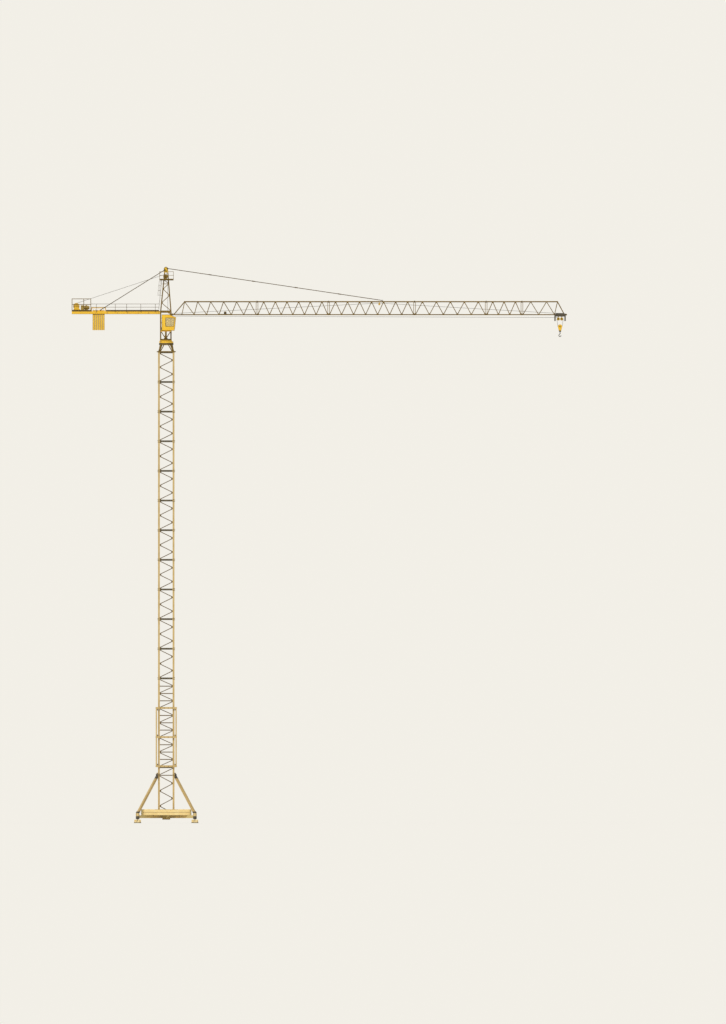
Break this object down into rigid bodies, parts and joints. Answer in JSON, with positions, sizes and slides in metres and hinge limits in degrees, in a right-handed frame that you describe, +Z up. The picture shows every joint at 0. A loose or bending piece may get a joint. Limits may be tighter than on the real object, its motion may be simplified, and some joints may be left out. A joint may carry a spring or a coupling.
{
  "type": "tower crane, scale model at 1:2",
  "caption": "Top-slewing tower crane on a ballasted cross base, with lattice mast, trolley jib, counter-jib, cab and hook, modelled at half size.",
  "frame": {"origin": "on the slewing axis at ground level, in the middle of the four foot plates' anchor holes", "axes": "+Z up along the mast, +X out along the jib at rest, +Y to the side away from the cab"},
  "size_m": [34.59, 4.5, 38.8404],
  "materials": {
    "cream_paint": "satin paint",
    "yellow_paint": "satin paint",
    "dark_steel": "matt paint",
    "machine_paint": "satin paint",
    "concrete": "cast concrete",
    "zinc_grating": "galvanised",
    "tie_steel": "matt paint",
    "bare_steel": "greased steel",
    "wire_rope": "greased wire",
    "glass": "clear"
  },
  "bodies": {
    "tower": {"foot_shoes": "cream_paint", "corner_heads": "dark_steel", "cross_beam": "dark_steel", "cross_arms": "dark_steel", "struts": "cream_paint", "ballast_lower": "concrete", "ballast_upper": "concrete", "foot_section": "cream_paint", "base_section": "cream_paint", "mast_section_01": "cream_paint", "mast_section_02": "cream_paint", "mast_section_03": "cream_paint", "mast_section_04": "cream_paint", "mast_section_05": "cream_paint", "mast_section_06": "cream_paint", "mast_section_07": "cream_paint", "mast_section_08": "cream_paint", "mast_section_09": "cream_paint", "mast_section_10": "cream_paint", "mast_section_11": "cream_paint", "climbing_frame": "yellow_paint", "ring_support": "yellow_paint"},
    "upper": {"slewing_deck": "yellow_paint", "slewing_tower": "yellow_paint", "slewing_gear": "machine_paint", "cab_bracket": "dark_steel", "cab_shell": "yellow_paint", "cab_glass": "glass", "cab_door": "yellow_paint", "tower_head": "yellow_paint", "service_platform": "yellow_paint", "head_ladder": "yellow_paint", "counter_jib_frame": "yellow_paint", "counter_jib_deck": "zinc_grating", "counter_jib_railing": "yellow_paint", "winch_guard": "yellow_paint", "winch_frame": "dark_steel", "winch_motor": "machine_paint", "counterweights": "concrete", "counter_jib_ties": "tie_steel", "jib_section_1": "yellow_paint", "jib_section_2": "yellow_paint", "jib_section_3": "yellow_paint", "jib_section_4": "yellow_paint", "jib_section_5": "yellow_paint", "jib_section_6": "yellow_paint", "jib_tie": "tie_steel", "rope_pulleys": "bare_steel", "hoist_rope": "wire_rope", "trolley_winch": "dark_steel"},
    "hoist_drum": {"hoist_drum": "bare_steel"},
    "trolley_drum": {"trolley_drum": "bare_steel"},
    "trolley": {"trolley_frame": "dark_steel", "trolley_wheels": "bare_steel", "rope_falls": "wire_rope"},
    "hook_block": {"hook_block": "dark_steel"},
    "hook": {"hook": "bare_steel"}
  },
  "joints": [
    {"name": "slew", "type": "hinge", "parent": "tower", "child": "upper", "pos_m": [0, 0, 33.53], "axis": [0, 0, 1], "continuous": true},
    {"name": "trolley_travel", "type": "slide", "parent": "upper", "child": "trolley", "axis": [1, 0, 0], "range_m": [-25.9, 0]},
    {"name": "hoist", "type": "slide", "parent": "trolley", "child": "hook_block", "axis": [0, 0, -1], "range_m": [0, 32.4], "deforming": ["rope_falls"]},
    {"name": "hook_swivel", "type": "hinge", "parent": "hook_block", "child": "hook", "pos_m": [27.5, 0, 34], "axis": [0, 0, 1], "continuous": true},
    {"name": "hoist_drum_turn", "type": "hinge", "parent": "upper", "child": "hoist_drum", "pos_m": [-6.277, 0, 36.0955], "axis": [0, 1, 0], "continuous": true},
    {"name": "trolley_drum_turn", "type": "hinge", "parent": "upper", "child": "trolley_drum", "pos_m": [4.11758, 0, 35.6445], "axis": [0, 1, 0], "continuous": true}
  ],
  "couplings": [
    {"joint": "hoist_drum_turn", "follows": "hoist", "rad_per_m": 10.526},
    {"joint": "trolley_drum_turn", "follows": "trolley_travel", "rad_per_m": 14.286}
  ]
}
